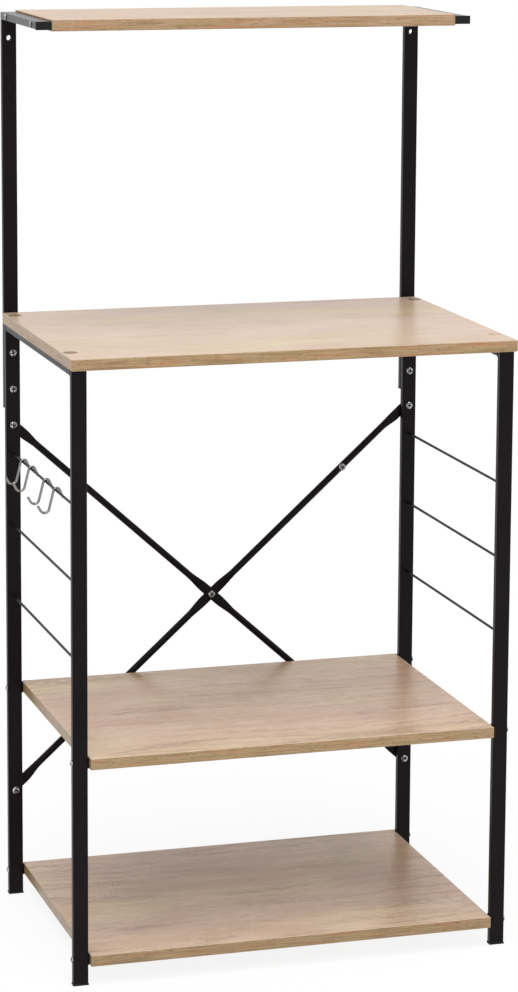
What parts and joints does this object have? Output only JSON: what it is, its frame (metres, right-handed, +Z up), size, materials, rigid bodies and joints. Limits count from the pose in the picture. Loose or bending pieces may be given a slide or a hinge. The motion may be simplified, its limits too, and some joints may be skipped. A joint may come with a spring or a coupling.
{
  "type": "microwave stand",
  "caption": "Open kitchen stand of black flat steel tube with oak-look boards, a raised top shelf over a microwave bay, a crossed rear brace, side rods and S-hooks.",
  "frame": {"origin": "on the floor, midway between the two sides and midway between the tabletop's front edge and the uprights' back face", "axes": "+Z up; +Y from the open front to the back, where the brace and the uprights are; +X to the right seen from the front"},
  "size_m": [0.6159, 0.4102, 1.24],
  "materials": {
    "black_steel": "satin powder coat",
    "oak_board": "light oak foil on board, satin",
    "bright_steel": "bright zinc plate",
    "chrome_wire": "polished",
    "black_plastic": "moulded, matte",
    "cover_plastic": "wood-tone plastic"
  },
  "bodies": {
    "root": {"arm_cap_left": "black_plastic", "arm_cap_right": "black_plastic", "arm_left": "black_steel", "arm_right": "black_steel", "bottom_shelf_screw_front_left": "bright_steel", "bottom_shelf_screw_front_right": "bright_steel", "bottom_shelf_screw_rear_left": "bright_steel", "bottom_shelf_screw_rear_right": "bright_steel", "brace_bolt_lower_left": "bright_steel", "brace_bolt_lower_right": "bright_steel", "brace_bolt_upper_left": "bright_steel", "brace_bolt_upper_right": "bright_steel", "brace_falling": "black_steel", "brace_rising": "black_steel", "brace_tube_bolt": "bright_steel", "cross_bolt": "bright_steel", "foot_cap_front_left": "black_plastic", "foot_cap_front_right": "black_plastic", "foot_cap_rear_left": "black_plastic", "foot_cap_rear_right": "black_plastic", "leg_front_left": "black_steel", "leg_front_right": "black_steel", "leg_rear_left": "black_steel", "leg_rear_right": "black_steel", "middle_shelf_screw_front_left": "bright_steel", "middle_shelf_screw_front_right": "bright_steel", "middle_shelf_screw_rear_left": "bright_steel", "middle_shelf_screw_rear_right": "bright_steel", "shelf_bottom": "oak_board", "shelf_middle": "oak_board", "shelf_top": "oak_board", "side_rod_left_1": "black_steel", "side_rod_left_2": "black_steel", "side_rod_left_3": "black_steel", "side_rod_right_1": "black_steel", "side_rod_right_2": "black_steel", "side_rod_right_3": "black_steel", "tabletop": "oak_board", "tabletop_screw_front_left": "cover_plastic", "tabletop_screw_front_right": "cover_plastic", "tabletop_screw_rear_left": "cover_plastic", "tabletop_screw_rear_right": "cover_plastic", "top_rail_left": "black_steel", "top_rail_right": "black_steel", "top_shelf_screw_front_left": "bright_steel", "top_shelf_screw_front_right": "bright_steel", "top_shelf_screw_rear_left": "bright_steel", "top_shelf_screw_rear_right": "bright_steel", "upright_bolt_left_1": "bright_steel", "upright_bolt_left_2": "bright_steel", "upright_bolt_right_1": "bright_steel", "upright_bolt_right_2": "bright_steel", "upright_left": "black_steel", "upright_plug_left": "black_plastic", "upright_plug_right": "black_plastic", "upright_right": "black_steel"},
    "hook_1": {"hook_1": "chrome_wire"},
    "hook_2": {"hook_2": "chrome_wire"},
    "hook_3": {"hook_3": "chrome_wire"},
    "hook_4": {"hook_4": "chrome_wire"}
  },
  "joints": [
    {"name": "hook_swing_1", "type": "hinge", "parent": "root", "child": "hook_1", "pos_m": [-0.2883, 0.12161, 0.6315], "axis": [0, 1, 0], "range_deg": [-75, 75]},
    {"name": "hook_swing_2", "type": "hinge", "parent": "root", "child": "hook_2", "pos_m": [-0.2883, 0.07213, 0.6315], "axis": [0, 1, 0], "range_deg": [-75, 75]},
    {"name": "hook_swing_3", "type": "hinge", "parent": "root", "child": "hook_3", "pos_m": [-0.2883, -0.0138, 0.6315], "axis": [0, 1, 0], "range_deg": [-75, 75]},
    {"name": "hook_swing_4", "type": "hinge", "parent": "root", "child": "hook_4", "pos_m": [-0.2883, -0.07183, 0.6315], "axis": [0, 1, 0], "range_deg": [-75, 75]}
  ]
}
